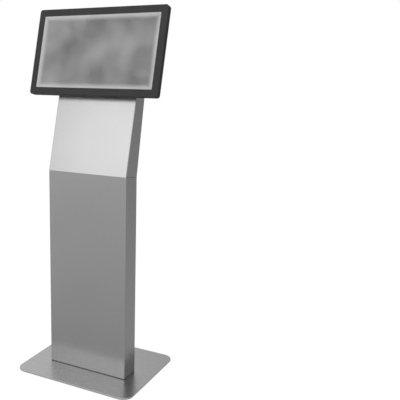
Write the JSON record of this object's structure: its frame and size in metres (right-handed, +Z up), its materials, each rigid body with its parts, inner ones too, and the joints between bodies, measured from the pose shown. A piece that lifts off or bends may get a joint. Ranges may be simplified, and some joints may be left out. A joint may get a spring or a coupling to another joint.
{
  "type": "screen kiosk stand",
  "caption": "Floor kiosk: a flat base, a folded sheet-metal column with a service door, and a touch display that turns between landscape and portrait.",
  "frame": {"origin": "centre of the base's footprint, on the floor", "axes": "+X to the user's right, +Y to the back, +Z up"},
  "size_m": [0.5256, 0.4, 1.3578],
  "materials": {
    "base_steel": "satin brushed plate",
    "lower_paint": "satin silver-grey powder coat",
    "upper_paint": "satin silver-grey powder coat",
    "rear_paint": "satin silver-grey powder coat",
    "inner_steel": "plain galvanised",
    "fastener": "bright zinc",
    "lock_metal": "nickel plated",
    "pad_rubber": "matte",
    "pivot_steel": "matte black",
    "bush_plastic": "smooth natural",
    "friction_fibre": "matte fibre",
    "bezel_black": "satin charcoal",
    "screen_glass": "clear, flat",
    "gasket_foam": "matte foam",
    "lcd": "grey picture behind glass",
    "chassis_black": "fine matte black",
    "board_green": "solder resist",
    "key_black": "fine matte",
    "equipment_black": "fine matte",
    "contact_brass": "bright"
  },
  "bodies": {
    "stand": {"base_plate": "base_steel", "glide_pads": "pad_rubber", "column_foot": "inner_steel", "foot_bolts": "fastener", "lower_shell": "lower_paint", "upper_shell": "upper_paint", "knee_gussets": "inner_steel", "knee_splice": "inner_steel", "knee_studs": "fastener", "top_cap": "upper_paint", "rear_sill": "rear_paint", "rear_header": "rear_paint", "panel_screws": "fastener", "upper_cover": "rear_paint", "cover_screws": "fastener", "hinge_pins": "fastener", "lock_keeper": "inner_steel", "equipment_plate": "inner_steel", "plate_studs": "fastener", "media_player": "equipment_black", "equipment_straps": "inner_steel", "strap_screws": "fastener", "power_supply": "equipment_black", "mains_inlet": "equipment_black", "inlet_pins": "contact_brass", "stator_plate": "pivot_steel", "stator_screws": "fastener", "pivot_bush": "bush_plastic", "friction_washer": "friction_fibre"},
    "display": {"bezel": "bezel_black", "touch_glass": "screen_glass", "glass_gasket": "gasket_foam", "lcd_panel": "lcd", "rear_chassis": "chassis_black", "chassis_screws": "fastener", "main_board": "board_green", "driver_board": "board_green", "key_board": "board_green", "rotor_plate": "pivot_steel", "vesa_screws": "fastener", "stop_pin": "fastener", "thrust_washer": "fastener", "disc_spring": "fastener", "ring_nut": "fastener"},
    "door": {"service_door": "rear_paint", "door_stiffener": "inner_steel", "lock_housing": "lock_metal", "lock_nut": "fastener"},
    "lock": {"lock_plug": "lock_metal", "lock_cam": "fastener", "cam_screw": "fastener"},
    "rocker": {"mains_rocker": "key_black"},
    "input_key": {"input_key": "key_black"},
    "down_key": {"down_key": "key_black"},
    "up_key": {"up_key": "key_black"},
    "menu_key": {"menu_key": "key_black"},
    "power_key": {"power_key": "key_black"}
  },
  "joints": [
    {"name": "display_turn", "type": "hinge", "parent": "stand", "child": "display", "pos_m": [0, 0.04123, 1.19059], "axis": [0, 0.9659, -0.2588], "range_deg": [0, 90]},
    {"name": "door_swing", "type": "hinge", "parent": "stand", "child": "door", "pos_m": [-0.1345, 0.006, 0.382], "axis": [0, 0, 1], "range_deg": [0, 100]},
    {"name": "lock_turn", "type": "hinge", "parent": "door", "child": "lock", "pos_m": [0.1185, 0.012, 0.382], "axis": [0, -1, 0], "range_deg": [0, 90]},
    {"name": "mains_switch", "type": "hinge", "parent": "stand", "child": "rocker", "pos_m": [0.07, 0.009, 0.07], "axis": [1, 0, 0], "range_deg": [0, 16]},
    {"name": "input_key_press", "type": "slide", "parent": "display", "child": "input_key", "axis": [0, 0.2588, 0.9659], "range_m": [0, 0.0008], "stiffness_N_per_m": 400},
    {"name": "down_key_press", "type": "slide", "parent": "display", "child": "down_key", "axis": [0, 0.2588, 0.9659], "range_m": [0, 0.0008], "stiffness_N_per_m": 400},
    {"name": "up_key_press", "type": "slide", "parent": "display", "child": "up_key", "axis": [0, 0.2588, 0.9659], "range_m": [0, 0.0008], "stiffness_N_per_m": 400},
    {"name": "menu_key_press", "type": "slide", "parent": "display", "child": "menu_key", "axis": [0, 0.2588, 0.9659], "range_m": [0, 0.0008], "stiffness_N_per_m": 400},
    {"name": "power_key_press", "type": "slide", "parent": "display", "child": "power_key", "axis": [0, 0.2588, 0.9659], "range_m": [0, 0.0008], "stiffness_N_per_m": 400}
  ]
}
